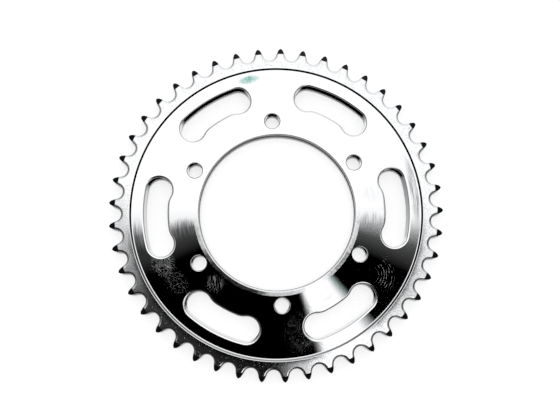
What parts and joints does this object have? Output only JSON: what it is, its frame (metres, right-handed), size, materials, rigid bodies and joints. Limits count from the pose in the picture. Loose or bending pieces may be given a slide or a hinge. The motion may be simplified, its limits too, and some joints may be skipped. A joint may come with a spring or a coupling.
{
  "type": "rear chain sprocket",
  "caption": "Flat ring-shaped plate with chain teeth round its rim, a large central bore, a ring of bolt holes and curved lightening slots; it turns a motorcycle's rear wheel.",
  "frame": {"origin": "on the wheel axis, at the centre of the rear face that seats on the wheel's carrier", "axes": "+Z along the wheel axis, away from the wheel; +Y through the middle of the first bolt hole"},
  "size_m": [0.2357, 0.2356, 0.0087],
  "materials": {
    "plated_steel": "bright zinc plate over turned steel, matt and finely pitted on the toothed rim"
  },
  "bodies": {
    "root": {"sprocket_plate": "plated_steel"}
  },
  "joints": []
}
